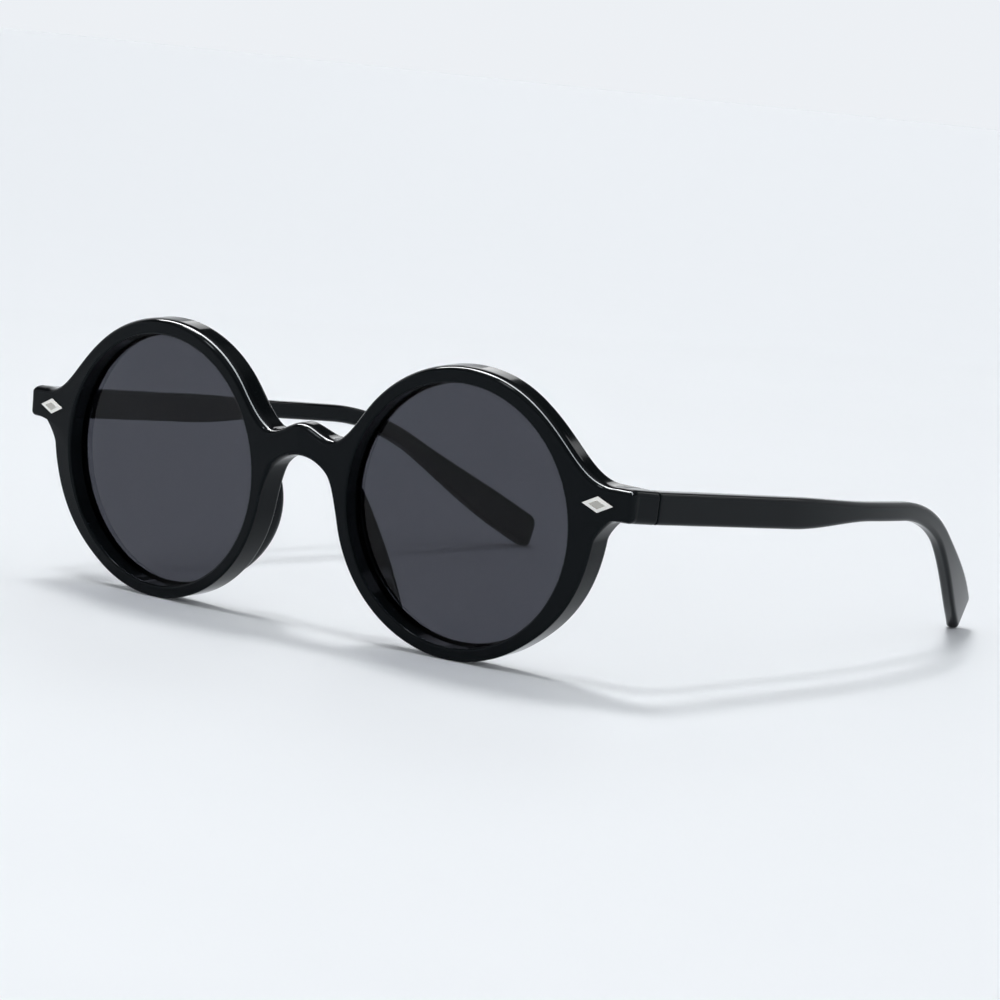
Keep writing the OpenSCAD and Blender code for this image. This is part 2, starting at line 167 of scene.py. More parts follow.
def grid(rows, columns, close_rows=False, close_columns=False):
    """The four corners of each cell in a grid of points that is numbered row by row."""
    r, c = np.meshgrid(np.arange(rows - (not close_rows)), np.arange(columns - (not close_columns)),
                       indexing="ij")
    r2, c2 = (r + 1) % rows, (c + 1) % columns
    corners = [r * columns + c, r2 * columns + c, r2 * columns + c2, r * columns + c2]
    return np.stack(corners, -1).reshape(-1, 4)


# The sheet is dyed through: only a small share of the light gets through, a little more of the blue.
# Its hard coat is glass smooth, so it mirrors sharply at a slant.
smoke, tree = material("tinted_polycarbonate_hard_coated")
feed(tree, tree.nodes["Principled BSDF"], Base_Color=srgb("#47484f"), Transmission_Weight=1.0, IOR=1.25,
     Roughness=0.0)

# Each face of the disc ends in a tiny flat polygon at its middle
LENS_SPOKES = 288
LENS_HUB = 0.02
lens_edge = SIGHT_R + LENS_BITE
lens_profile = np.array([
    [LENS_HUB, 0], [lens_edge / 2, 0], [lens_edge - 2 * LENS_BEVEL, 0], [lens_edge - LENS_BEVEL, 0],
    [lens_edge, LENS_T / 2], [lens_edge - LENS_BEVEL, LENS_T], [lens_edge - 2 * LENS_BEVEL, LENS_T],
    [lens_edge / 2, LENS_T], [LENS_HUB, LENS_T]])
lens_turn = np.linspace(0, 2 * math.pi, LENS_SPOKES, endpoint=False)
reach, depth = lens_profile[:, :1], RECESS + lens_profile[:, 1:]
lens_points = to_front(reach * np.cos(lens_turn), depth, reach * np.sin(lens_turn))
lens_faces = [*grid(len(lens_profile), LENS_SPOKES, close_columns=True), np.arange(LENS_SPOKES),
              np.arange(LENS_SPOKES) + (len(lens_profile) - 1) * LENS_SPOKES]
for side, points in both_sides(lens_points):
    mesh = mesh_of(f"lens_{side}_tinted", stand(points), lens_faces, sharp=15)
    mounted(mesh, smoke, "front", "smoke_lens", f"lens_{side}")

# Front: one injection moulding in black, tumbled and buffed to a gloss. It has the rims with their
# recess and groove, the keyhole bridge, end pieces that turn back to the hinges, and the nose pads.
RIM_W = 2.7  # round the sight
RIM_DEPTH = 6.1  # front to back
# The front edge is rounded by EDGE_IN and EDGE_DEEP above EDGE_HIGH_Z, by EDGE_BELOW under EDGE_LOW_Z
EDGE_IN = 0.9
EDGE_DEEP = 2.2
EDGE_BELOW = 0.4
EDGE_LOW_Z = -3
EDGE_HIGH_Z = 9
BACK_R = 0.9  # rounding of the rim's back edge
BACK_FLAT = 0.65  # between that rounding and the flared opening
LIP_R = 0.45  # rounding of the sight's front edge
BACK_LIP = 0.4  # how far the lip behind the lens reaches inside the sight
BACK_LIP_T = 0.4  # from the lens's back to where the opening flares
LENS_PLAY = 0.12  # between the lens's edge and the bottom of the groove
SEAT_GAP = 0.05  # between a seated piece and its pocket
BRIDGE_TOP = 12.2  # height of the bridge's upper edge at the middle
BRIDGE_ARCH = 5.95  # height of the arch over the nose
BRIDGE_THIN = 1.2  # how much less deep the bridge is than the rims
BRIDGE_REACH = 9.0  # from the middle to where the front is at its full depth again
BRIDGE_EASE = 6.0
NOTCH_DEEP = 2.15  # drop of the top edge on its way to each rim
ARCH_DROP = 2.4  # drop of the arch on its way to each rim
# The back comes forward by SHOULDER_THIN at one angle on the rim, and less up to SHOULDER_REACH off it
SHOULDER_THIN = 0.8
SHOULDER_AT = 42
SHOULDER_REACH = 35
FRONT_W = 144.8  # at the seams with the temples
END_Z = 6.5  # height of the middle of the end pieces
END_H = 6.0
END_SWEEP = 1.2  # how far the face bends back at its outer corner
SWEEP_IN = 15.0  # the bend starts this far inside the edge of the sight
CORNER_IN = 0.5  # the corner lies this far inside the seam
RETURN_L = 7.3  # from the corner back to the seam
SIDE_T = 3.8  # thickness of the end piece where it has turned back
PAD_H = 3.7  # rise of the nose pad over the rim's back
PAD_T = 2.8  # width of its ridge
PAD_INSIDE = 1.3  # how far it reaches inside the sight
PAD_FADE = 0.15  # its foot runs out this far into the flat back
PITCH = math.radians(6.3)  # the end pieces and the temples slope down by this
SPLAY = math.radians(3.2)  # and stand outwards by this
CORNER_R = 1.2  # rounding of the end piece's corners, seen from ahead
FOOT_IN = 1.4  # margin of the inner face above and below
FOOT_STEP = 0.35  # width of the step in the outline at the root of the side
FOOT_RISE = 0.1  # and its height
BESIDE_IN = 7.7  # place of the outline under the end piece, in from the corner
BESIDE_DROP = 4.35  # and below the end piece
ROOT_R = 0.8  # fillet between the rim's back and the inner face
ROOT_BLEND = 1.3  # width over which the rim's back changes into the side
SEAM_R = 0.3  # rounding at the seam
FINE = 6  # points to a span of the outline
SHARP = 35  # edges that turn by more degrees than this look sharp

RIM_R = SIGHT_R + RIM_W
HALF_GAP = CX - RIM_R
END_U = (FRONT_W / 2 - CX) / math.cos(WRAP) - CORNER_IN
END_TOP = END_Z + END_H / 2
END_LOW = END_Z - END_H / 2
FOOT_U = END_U - SIDE_T
SWEEP_FROM = SIGHT_R - SWEEP_IN
# The rim's outer circle sits up and out from the lens, so the rim is broader there than at its foot
RIM_O = np.array([0.25, 0.35])
# Angles on the rim, in degrees, where the bridge and the end piece leave it
BRIDGE_ON, END_ON, END_OFF, BRIDGE_OFF = 143, 54, -58, -168
PAD_FROM, PAD_TO = -124, -184

corner_y = END_U * math.sin(WRAP) + END_SWEEP
SEAM = np.array([FRONT_W / 2, corner_y + RETURN_L, END_Z - RETURN_L * math.sin(PITCH)])


def to_side(x, y, z):
    """From the hinge's frame to the front's: pitched about X, splayed about Z, moved to the seam."""
    y, z = y * math.cos(PITCH) + z * math.sin(PITCH), z * math.cos(PITCH) - y * math.sin(PITCH)
    c, s = math.cos(SPLAY), math.sin(SPLAY)
    return np.stack(np.broadcast_arrays(x * c + y * s, y * c - x * s, z), -1) + SEAM


def moulded(u, y, z):
    """As to_front, but the halves meet in a parabola, not in a crease, over BRIDGE_EASE from X 0."""
    x = CX + u * math.cos(WRAP)
    near = np.clip(1 - x / BRIDGE_EASE, 0, 1)
    back = u * math.sin(WRAP) + y * math.cos(WRAP) + math.tan(WRAP) * BRIDGE_EASE / 2 * near ** 2
    return np.stack(np.broadcast_arrays(x - y * math.sin(WRAP) * (1 - near), back, z), -1)


def bezier(a, b, c, d, spans):
    """Cubic curve without its last point: (1-t)^3 a + 3t(1-t)^2 b + 3t^2(1-t) c + t^3 d."""
    t = np.linspace(0, 1, spans * FINE, endpoint=False)[:, None]
    a, b, c, d = map(np.asarray, (a, b, c, d))
    return (1 - t) ** 3 * a + 3 * t * (1 - t) ** 2 * b + 3 * t * t * (1 - t) * c + t ** 3 * d


def straight(a, b, spans=1):
    """Line from a to b without its last point."""
    t = np.linspace(0, 1, spans * FINE, endpoint=False)[:, None]
    return np.asarray(a) * (1 - t) + np.asarray(b) * t


def arc(centre, radius, start, end, spans):
    """Circle from start to end in degrees, without its last point."""
    q = np.radians(np.linspace(start, end, spans * FINE, endpoint=False))
    return np.asarray(centre) + radius * np.stack([np.cos(q), np.sin(q)], -1)


def rim_at(q, ahead=0.0):
    """Point of the rim at q degrees, and further along its tangent, clockwise."""
    c, s = math.cos(math.radians(q)), math.sin(math.radians(q))
    return RIM_O + [RIM_R * c + ahead * s, RIM_R * s - ahead * c]


def over(share, z):
    """Place across the bridge: its share of half the gap between the rims, from the middle."""
    return np.array([-CX / math.cos(WRAP) + share * HALF_GAP, z])


notch_z, arch_z = BRIDGE_TOP - NOTCH_DEEP, BRIDGE_ARCH - ARCH_DROP
top_step, foot_top = [FOOT_U - FOOT_STEP, END_TOP + FOOT_RISE], [FOOT_U, END_TOP + FOOT_RISE]
foot_low, low_step = [FOOT_U, END_LOW], [FOOT_U - FOOT_STEP, END_LOW]
# Under the end piece the outline turns down and runs beside the rim before it joins it
beside, down = np.array([END_U - BESIDE_IN, END_LOW - BESIDE_DROP]), np.array([-0.16, -0.987])
# Outline of the left half, clockwise from the top of the bridge to its arch
above = [
    bezier(over(0, BRIDGE_TOP), over(0.3, BRIDGE_TOP), over(0.53, notch_z), over(0.84, notch_z), 4),
    bezier(over(0.84, notch_z), over(1.1, notch_z), rim_at(BRIDGE_ON, -4), rim_at(BRIDGE_ON), 5),
    arc(RIM_O, RIM_R, BRIDGE_ON, END_ON, 13),
    bezier(rim_at(END_ON), rim_at(END_ON, 10), [END_U - 10.6, END_TOP - 0.1], top_step, 8)]
end_face = [
    straight(top_step, foot_top), straight(foot_top, [END_U - CORNER_R, END_TOP]),
    arc([END_U - CORNER_R, END_TOP - CORNER_R], CORNER_R, 90, 0, 2),
    straight([END_U, END_TOP - CORNER_R], [END_U, END_LOW + CORNER_R], 2),
    arc([END_U - CORNER_R, END_LOW + CORNER_R], CORNER_R, 0, -90, 2),
    straight([END_U - CORNER_R, END_LOW], foot_low), straight(foot_low, low_step)]
below = [
    bezier(low_step, [FOOT_U - 1, END_LOW], beside - 1.4 * down, beside, 5),
    bezier(beside, beside + 10 * down, rim_at(END_OFF, -10), rim_at(END_OFF), 8),
    arc(RIM_O, RIM_R, END_OFF, BRIDGE_OFF, 15),
    bezier(rim_at(BRIDGE_OFF), rim_at(BRIDGE_OFF, 4.3), over(0.87, arch_z - 1.1), over(0.72, arch_z), 4),
    bezier(over(0.72, arch_z), over(0.55, arch_z + 1.35), over(0.3, BRIDGE_ARCH), over(0, BRIDGE_ARCH), 4),
    [over(0, BRIDGE_ARCH)]]
outline = np.concatenate([*above, *end_face, *below])
stations = np.arange(len(outline))
foot_on, foot_off = sum(map(len, above)), len(outline) - sum(map(len, below))
# Angles round the lens that go with the ends of the outline's stretches, and the spans between them
turns = [165.9, 165.6, 165.2, 162.5, 158.6, BRIDGE_ON, END_ON, 20, 2, -5, END_OFF, BRIDGE_OFF, -193.7]
spans = [1, 1, 1, 1, 5, 13, 8, 10, 5, 8, 15, 8]
spokes = np.radians(np.interp(stations, FINE * np.cumsum([0, *spans]), turns))

chords = outline[2:] - outline[:-2]
chords = np.concatenate([[[1, 0]], chords / np.linalg.norm(chords, axis=1)[:, None], [[-1, 0]]])
normals = np.stack([-chords[:, 1], chords[:, 0]], -1)


def ease(t):
    """Smooth step from 0 to 1: 3t^2 - 2t^3."""
    t = np.clip(t, 0, 1)
    return t * t * (3 - 2 * t)


def mix(a, b, share):
    """A share of the way from a to b: a + (b - a) share."""
    return a + (b - a) * share


# How far a section belongs to the part that turns back, from 0 on the rim to 1 past its root
turned = ease((outline[:, 0] - FOOT_U) / ROOT_BLEND + 1)[:, None]


def sweep(u):
    """Backward sweep of the face: END_SWEEP times the square of the share of the way out."""
    return END_SWEEP * (np.maximum(0, u - SWEEP_FROM) / (END_U - SWEEP_FROM)) ** 2


def lens_rail(radius, depth):
    """Line round the lens at a radius and a depth, one point a station."""
    return moulded(radius * np.cos(spokes), depth, radius * np.sin(spokes))


def skin_rail(inset, depth):
    """Line along the outline, set in from it, at a depth behind the swept face.

    The back half comes forward over the bridge and at the shoulder, where the front is thinner.
    """
    u, z = (outline - np.reshape(inset, (-1, 1)) * normals).T
    thinner = BRIDGE_THIN * ease(1 - (u + CX / math.cos(WRAP)) / BRIDGE_REACH)
    thinner += SHOULDER_THIN * ease(1 - abs(np.degrees(spokes) - SHOULDER_AT) / SHOULDER_REACH)
    return moulded(u, depth + sweep(u) - thinner * (depth > RIM_DEPTH / 2), z)


def seam_rail(inset, ahead):
    """Line along the end piece's outline, set in from it, some way ahead of the seam."""
    u, z = (outline - inset * normals).T
    return to_side(u - END_U, -ahead, z - END_Z)


def rounded(a, b, c, radius, count):
    """Rails round the corner b between rails a and c: t^2-weighted from one leg to the other."""
    leg_a, leg_c = a - b, c - b
    start = b + leg_a * radius / np.linalg.norm(leg_a, axis=1)[:, None]
    end = b + leg_c * radius / np.linalg.norm(leg_c, axis=1)[:, None]
    return [(1 - t) ** 2 * start + 2 * t * (1 - t) * b + t * t * end for t in np.linspace(0, 1, count)]


def quarter(radius, count):
    """Inset and rise of a quarter circle, from (0, radius) to (radius, 0)."""
    q = np.linspace(0, math.pi / 2, count)
    return np.stack([radius * (1 - np.cos(q)), radius * (1 - np.sin(q))], -1)


# Opening of a rim, front to back: rounded lip, recess, groove and back lip
groove_on, groove_off = RECESS - SEAT_GAP, RECESS + LENS_T + SEAT_GAP
back_lip_r, flare_on = SIGHT_R - BACK_LIP, RECESS + LENS_T + BACK_LIP_T
opening = [(SIGHT_R + a, b) for a, b in quarter(LIP_R, 7)[::-1]]
opening += [(SIGHT_R, y) for y in (LIP_R + 0.1, RECESS / 2, groove_on - 0.1, groove_on)]
opening += [(SIGHT_R + LENS_BITE + LENS_PLAY, y) for y in (groove_on, groove_off)]
opening += [(back_lip_r, y) for y in (groove_off, groove_off + 0.06, flare_on - 0.12)]
wall = [lens_rail(r, y) for r, y in opening]

# Nose pad: the back of the rim swells into a ridge, highest between PAD_FROM and PAD_TO, and the
# opening, which flares behind the lens everywhere else, stays narrow there
swell = np.sin(math.pi * np.clip((np.degrees(spokes) - PAD_FROM) / (PAD_TO - PAD_FROM), 0, 1)) ** 0.7
flare_r = RIM_R - BACK_R - BACK_FLAT
flare = np.array([[back_lip_r, flare_on], [flare_r, RIM_DEPTH]])
narrow = np.array([[back_lip_r, flare_on], [SIGHT_R + 0.1, RIM_DEPTH]])
for t in (0.12, 0.4, 0.7, 0.9):
    wall.append(lens_rail(*mix(mix(*flare, t)[:, None], mix(*narrow, t)[:, None], swell)))
pad_in, pad_out, crest = SIGHT_R - PAD_INSIDE, flare_r + PAD_FADE, RIM_DEPTH + PAD_H
ridge = np.array([
    narrow[1], [pad_in, crest - 1.5], [pad_in + 0.4, crest - 0.35],
    [pad_in + PAD_T * 0.6, crest], [pad_in + PAD_T, crest - 0.9], [pad_out, RIM_DEPTH]])


def through(points, count):
    """Catmull-Rom curve through the points, count to a span, without the first and the last.

    From b to c, between a and d: half of 2b + (c - a)t + (2a - 5b + 4c - d)t^2 + (3b - a - 3c + d)t^3.
    """
    knots = np.concatenate([2 * points[:1] - points[1:2], points, 2 * points[-1:] - points[-2:-1]])
    t = np.linspace(0, 1, count, endpoint=False)[:, None]
    runs = [0.5 * (2 * b + (c - a) * t + (2 * a - 5 * b + 4 * c - d) * t ** 2
                   + (3 * b - a - 3 * c + d) * t ** 3)
            for a, b, c, d in zip(knots, knots[1:], knots[2:], knots[3:])]
    return np.concatenate(runs)[1:]


pad_line = through(ridge, 3)
flat_line = np.stack([np.linspace(flare_r, pad_out, len(pad_line) + 2)[1:-1],
                      np.full(len(pad_line), RIM_DEPTH)], -1)
pad = [lens_rail(*mix(low[:, None], high[:, None], swell)) for low, high in zip(flat_line, pad_line)]

# Back of the rim to its rounded edge, or where the end piece turns back, round its root to the seam
edge_on = lens_rail(pad_out, RIM_DEPTH)
back_plain = [skin_rail(a, RIM_DEPTH - b) for a, b in quarter(BACK_R, 7)[::-1]]
back_seam = [seam_rail(a, b) for a, b in quarter(SEAM_R, 7)[::-1]]
down_foot = np.clip((stations - foot_on) / (foot_off - foot_on), 0, 1)
foot_z = END_TOP - FOOT_IN - (END_H - 2 * FOOT_IN) * down_foot
root_l = SEAM[1] - to_front(FOOT_U, RIM_DEPTH + sweep(FOOT_U), 0)[1]
root = to_side(-SIDE_T, -root_l, foot_z - END_Z)
inner = to_side(-SIDE_T, 0, foot_z - END_Z)
foot = [edge_on, mix(edge_on, root, 0.5), *rounded(edge_on, root, inner, ROOT_R, 6),
        *rounded(root, inner, back_seam[0], SEAM_R, 5), mix(inner, back_seam[0], 0.5)]
plain = [mix(edge_on, back_plain[0], t) for t in np.linspace(0, 0.97, len(foot))]
back = [mix(a, b, turned) for a, b in zip(plain + back_plain, foot + back_seam)]

# Outer wall, rounded front edge, and the flat face back to the lip
high_up = ease((outline[:, 1] - EDGE_LOW_Z) / (EDGE_HIGH_Z - EDGE_LOW_Z))
face_edge = [skin_rail(a * mix(EDGE_BELOW, EDGE_IN, high_up), b * mix(EDGE_BELOW, EDGE_DEEP, high_up))
             for a, b in quarter(1, 11)]
side_wall = [mix(back[-1], face_edge[0], t) for t in (0.03, 0.35, 0.65, 0.97)]
flat_face = [mix(face_edge[-1], wall[0], t) for t in (0.04, 0.3, 0.7, 0.96)]
rails = wall + pad + back + side_wall + face_edge + flat_face
skin_on, skin_off = len(wall + pad) + len(foot), len(rails) - len(flat_face) - 1

# Rails of the opening, the pad and the flat face close round the lens. Those of the outer skin stop at
# the middle of the bridge, where they meet their mirror images
cells = grid(len(rails), len(stations), close_rows=True)
closing = np.array([r for r in range(len(rails)) if not skin_on <= r < skin_off])
first, after = closing * len(stations), (closing + 1) % len(rails) * len(stations)
last = len(stations) - 1
cells = np.concatenate([cells, np.stack([first + last, after + last, after, first], -1)])


def with_mirror(points):
    """The points in one list, followed by their mirror images."""
    flat = np.reshape(points, (-1, 3))
    return np.concatenate([flat, flat * [-1, 1, 1]])


front_mesh = mesh_of("front_moulding", with_mirror(rails),
                     np.concatenate([cells, cells + len(rails) * len(stations)]), SHARP)

STUD_W = 6.3
STUD_H = 3.0
STUD_SEAT = 0.3  # depth of the seat that the head sits in
STUD_PIN_D = 1.2
STUD_PIN_L = 2.6
STUD_IN = 0.55  # inwards from halfway between the sight and the corner
STUD_DROP = 0.15  # below the middle of the end piece
stud_u, stud_z = (SIGHT_R + END_U) / 2 - STUD_IN, END_Z - STUD_DROP
stud_tilt = math.atan(2 * END_SWEEP * (stud_u - SWEEP_FROM) / (END_U - SWEEP_FROM) ** 2)


def to_stud(across, up, out):
    """From the stud's frame to the front's: out of the face, which is tilted about Z."""
    c, s = math.cos(stud_tilt), math.sin(stud_tilt)
    return to_front(stud_u + across * c + out * s, sweep(stud_u) + across * s - out * c, stud_z + up)


def prism(outline_points, frame_call, low, high):
    """Points and faces of an outline carried straight from low to high along its frame's last axis."""
    a, b = np.asarray(outline_points).T
    n = len(a)
    ends = [frame_call(a, b, np.full(n, h)) for h in (low, high)]
    sides = grid(2, n, close_columns=True).tolist()
    return np.concatenate(ends), [*sides, list(range(n)), list(range(n, 2 * n))]


def round_outline(diameter, count=32, centre=(0, 0)):
    """Points of a circle: its centre plus half its diameter times (cos q, sin q)."""
    q = np.linspace(0, 2 * math.pi, count, endpoint=False)
    return np.asarray(centre) + diameter / 2 * np.stack([np.cos(q), np.sin(q)], -1)


def rhomb(w, h):
    """Corners of a rhombus, w across and h high."""
    return np.array([[w / 2, 0], [0, h / 2], [-w / 2, 0], [0, -h / 2]])


def cut(mesh, solids, sharp):
    """The mesh less the given solids, which lie apart from each other, and their mirror images."""
    base = bpy.data.objects.new("base", mesh)
    points, faces, count = [], [], 0
    for solid_points, solid_faces in solids:
        for flip in ([1, 1, 1], [-1, 1, 1]):
            points.append(solid_points * flip)
            faces += [[count + k for k in f] for f in solid_faces]
            count += len(solid_points)
    tool = bpy.data.objects.new("tool", mesh_of("tool", np.concatenate(points), faces, sharp))
    for one in (base, tool):
        bpy.context.scene.collection.objects.link(one)
    step = base.modifiers.new("cut", "BOOLEAN")
    step.operation, step.object, step.solver = "DIFFERENCE", tool, "EXACT"
    result = bpy.data.meshes.new_from_object(base.evaluated_get(bpy.context.evaluated_depsgraph_get()))
    name, tool_mesh = mesh.name, tool.data
    bpy.data.objects.remove(base)
    bpy.data.objects.remove(tool)
    bpy.data.meshes.remove(mesh)
    bpy.data.meshes.remove(tool_mesh)
    result.name = name
    smoothed(result, sharp)
    return result


LEAF_T = 0.9
LEAF_H = 3.4
FRONT_LEAF_L = 4.0
TEMPLE_LEAF_L = 8.0
PEG_D = 1.1
PEG_L = 1.3
# Places of the pegs as shares of the leaf's length from the seam, in the front and in the temple
PEG_SHARES = {-1: [0.62], 1: [0.35, 0.78]}
POCKET_PAST_SEAM = 0.5  # the pocket is open at the seam
POCKET_MOUTH = 0.9  # and clears the fillet beside the inner face


def from_inside(along, up, across):
    """As to_side, for an outline that is drawn on the inner face and carried outwards."""
    return to_side(across, along, up)


def leaf_pocket(way, length):
    """Pocket in the inner face: way is -1 in the front, 1 in the temple."""
    near, far, z = -way * POCKET_PAST_SEAM, way * (length + SEAT_GAP), LEAF_H / 2 + SEAT_GAP
    return prism([(near, -z), (far, -z), (far, z), (near, z)], from_inside,
                 -SIDE_T - POCKET_MOUTH, -SIDE_T + LEAF_T + SEAT_GAP)


def peg_bores(way, length):
    """Bores under a leaf for its pegs, at PEG_SHARES of its length; way is as for leaf_pocket."""
    return [prism(round_outline(PEG_D + 2 * SEAT_GAP, centre=(way * share * length, 0)), from_inside,
                  -SIDE_T + LEAF_T / 2, -SIDE_T + LEAF_T + PEG_L + SEAT_GAP)
            for share in PEG_SHARES[way]]


def moved(mesh, call):
    """Puts the mesh's points through a call that takes and returns an array of points."""
    flat = np.empty(len(mesh.vertices) * 3)
    mesh.vertices.foreach_get("co", flat)
    mesh.vertices.foreach_set("co", call(flat.reshape(-1, 3)).ravel())
    mesh.update()


# The stud's seat is a little wider and higher than its head, and the bore deeper than its pin
SEAT_WIDER = 0.4
SEAT_HIGHER = 0.22
BORE_DEEPER = 0.2
OUT_OF_FACE = 2  # the cut starts this far outside
stud_seat = prism(rhomb(STUD_W + SEAT_WIDER, STUD_H + SEAT_HIGHER), to_stud, -STUD_SEAT, OUT_OF_FACE)
stud_bore = prism(round_outline(STUD_PIN_D + 2 * SEAT_GAP), to_stud,
                  -STUD_SEAT - STUD_PIN_L - BORE_DEEPER, 0)
front_mesh = cut(front_mesh, [stud_seat, leaf_pocket(-1, FRONT_LEAF_L)], SHARP)
front_mesh = cut(front_mesh, [stud_bore, *peg_bores(-1, FRONT_LEAF_L)], SHARP)
moved(front_mesh, stand)


def add(tree, kind, **inputs):
    """Adds a node to a tree and sets its inputs."""
    return feed(tree, tree.nodes.new(kind), **inputs)


def blotches(tree, size_mm):
    """Noise in blotches about size_mm across on the piece: its scale is 1 over that size in metres."""
    place = add(tree, "ShaderNodeTexCoord").outputs["Object"]
    return add(tree, "ShaderNodeTexNoise", Vector=place, Scale=1 / (size_mm * MM)).outputs["Fac"]


def uneven(tree, size_mm, low, high):
    """Blotches of a value between low and high, which stand for 0.3 and 0.7 in the noise."""
    return add(tree, "ShaderNodeMapRange", Value=blotches(tree, size_mm), From_Min=0.3, From_Max=0.7,
               To_Min=low, To_Max=high).outputs["Result"]


# Cellulose plastic, black through and through, buffed: faint ripples from the wheel bend what it
# mirrors, and the gloss varies a little over a few millimetres.
black, tree = material("buffed_black_cellulose_propionate")
ripple = add(tree, "ShaderNodeBump", Height=blotches(tree, 3.5), Strength=0.12, Distance=0.02 * MM)
# Its faint blue cast, in the base colour and in the mirror tint, is painted reflection: it stands in for
# the pale blue table that the faces mirror.
feed(tree, tree.nodes["Principled BSDF"], Base_Color=srgb("#0c0f11"), IOR=1.48, Specular_IOR_Level=0.11,
     Specular_Tint=srgb("#e6f1f8"), Normal=ripple.outputs["Normal"], Roughness=uneven(tree, 6, 0.05, 0.09))
mounted(front_mesh, black, "front", "gloss_black", "front_frame")

# Studs: diamond heads stamped from nickel silver, each on a pin that is pressed into the end piece.
# They are chromed and buffed, but for the face struck into the middle, which stays satin.
STUD_PROUD = 0.45  # height of the head's rim over the face
# Bright metal, with a haze that varies over the width of a buffing mark
chrome, tree = material("polished_chrome_plate")
feed(tree, tree.nodes["Principled BSDF"], Base_Color=srgb("#efede8"), Metallic=1.0,
     Roughness=uneven(tree, 0.8, 0.12, 0.2))
# A duller, slightly warm grey, as the die left it
satin, tree = material("satin_struck_nickel_silver")
feed(tree, tree.nodes["Principled BSDF"], Base_Color=srgb("#b9b6b0"), Metallic=1.0,
     Roughness=uneven(tree, 0.4, 0.3, 0.4))
# Rings of the head from its seat to its middle: share of the whole rhombus, and height over the face
head_rings = [(1, -STUD_SEAT), (1, 0.26), (0.985, 0.3), (0.62, STUD_PROUD - 0.01), (0.59, STUD_PROUD),
              (0.54, STUD_PROUD), (0.51, STUD_PROUD - 0.14), (0.45, STUD_PROUD - 0.03)]
head = np.array([to_stud(*(share * rhomb(STUD_W, STUD_H)).T, np.full(4, h)) for share, h in head_rings])
head_faces = [*grid(len(head_rings), 4, close_columns=True).tolist(), [0, 1, 2, 3],
              [4 * len(head_rings) - 4 + k for k in range(4)]]
pin, pin_faces = prism(round_outline(STUD_PIN_D), to_stud, -STUD_SEAT - STUD_PIN_L, -STUD_SEAT - 0.001)
pin_faces = [[k + head.size // 3 for k in f] for f in pin_faces]
for side, points in both_sides(np.concatenate([head.reshape(-1, 3), pin])):
    mesh = mesh_of(f"stud_{side}_bevelled", stand(points), head_faces + pin_faces, sharp=25)
    stud = mounted(mesh, chrome, "front", "polished_silver", f"stud_{side}")
    stud.data.materials.append(satin)
    stud.data.polygons[len(head_faces) - 1].material_index = 1

# Hinges: leaves stamped from stainless steel and let into the plastic, with three knuckles between
# them and a slotted screw. Tumbled in a barrel to a satin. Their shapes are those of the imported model.
steel, tree = material("barrelled_stainless_steel")
feed(tree, tree.nodes["Principled BSDF"], Base_Color=srgb("#b4b5b6"), Metallic=1.0,
     Roughness=uneven(tree, 0.5, 0.22, 0.36))
for name in ("hinge_front_leaf", "hinge_temple_leaf", "hinge_screw"):
    for side in ("left", "right"):
        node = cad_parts[f"{name}_{side}"]
        node.data.materials.clear()
        node.data.materials.append(steel)

# Temples: moulded of the same black plastic, each with a hinge leaf let into its inner face. Deep at
# the hinge, they draw in to a waist, bend down behind the ear and end in a flat paddle.
TEMPLE_L = 148.0  # along its middle line
DROOP = math.radians(0.8)  # slope at the hinge, past the pitch
BEND_AT = 86.0  # where the bend behind the ear starts
BEND_L = 26.0  # length of the bend
BEND_A = math.radians(28)
HUG_AT = 40.0  # from here the temple curves inwards
HUG_R = 250.0  # at this radius
WAIST_H = 3.7
WAIST_LIFT = 0.6  # the waist's middle lies this much higher
WAIST_FROM = 43.0
WAIST_TO = 71.0
PADDLE_H = 7.4  # greatest height, at the tip
PADDLE_FROM = 107.0
PADDLE_TO = 140.0
TEMPLE_T = 3.0  # thickness past THIN_TO
THIN_FROM = 12.0
THIN_TO = 55.0
TEMPLE_R = 0.9  # rounding of the long edges
TIP_SLANT = 0.1  # run of the cut for each millimetre of height
SLANT_L = 14.0  # length over which the cut's slant builds up
SEAM_GAP = 0.2  # from the end piece to the temple
SEAM_STEP = 0.1  # the temple is this much smaller than the end piece
START_R = 0.25
TIP_ROUND = 2.2  # length of the rounding at the tip
TIP_CUT = 1.6  # and its depth
STEP = 0.75  # between stations
CORNER_POINTS = 8  # in each round corner of a section

# Stations along the temple, closer together in its rounded ends
along = np.concatenate([SEAM_GAP + START_R * (1 - np.cos(np.linspace(0, math.pi / 2, 6))),
                        np.arange(1, TEMPLE_L - TIP_ROUND, STEP),
                        TEMPLE_L - TIP_ROUND * (1 - np.sin(np.linspace(0, math.pi / 2, 12)))])
bend_r, bend_end = BEND_L / BEND_A, BEND_AT + BEND_L


def slope_at(s):
    """Slope down at s: DROOP, then BEND_A more, which grows evenly over BEND_L from BEND_AT."""
    return DROOP + BEND_A * np.clip((s - BEND_AT) / BEND_L, 0, 1)


def middle_at(s):
    """Inward reach, run and drop of the middle line: straight, an arc of BEND_A, straight."""
    slope, level, past = slope_at(s), np.minimum(s, BEND_AT), np.maximum(0, s - bend_end)
    run = level * math.cos(DROOP) + bend_r * (np.sin(slope) - math.sin(DROOP)) + past * np.cos(slope)
    drop = level * math.sin(DROOP) + bend_r * (math.cos(DROOP) - np.cos(slope)) + past * np.sin(slope)
    return np.maximum(0, s - HUG_AT) ** 2 / (2 * HUG_R), run, drop


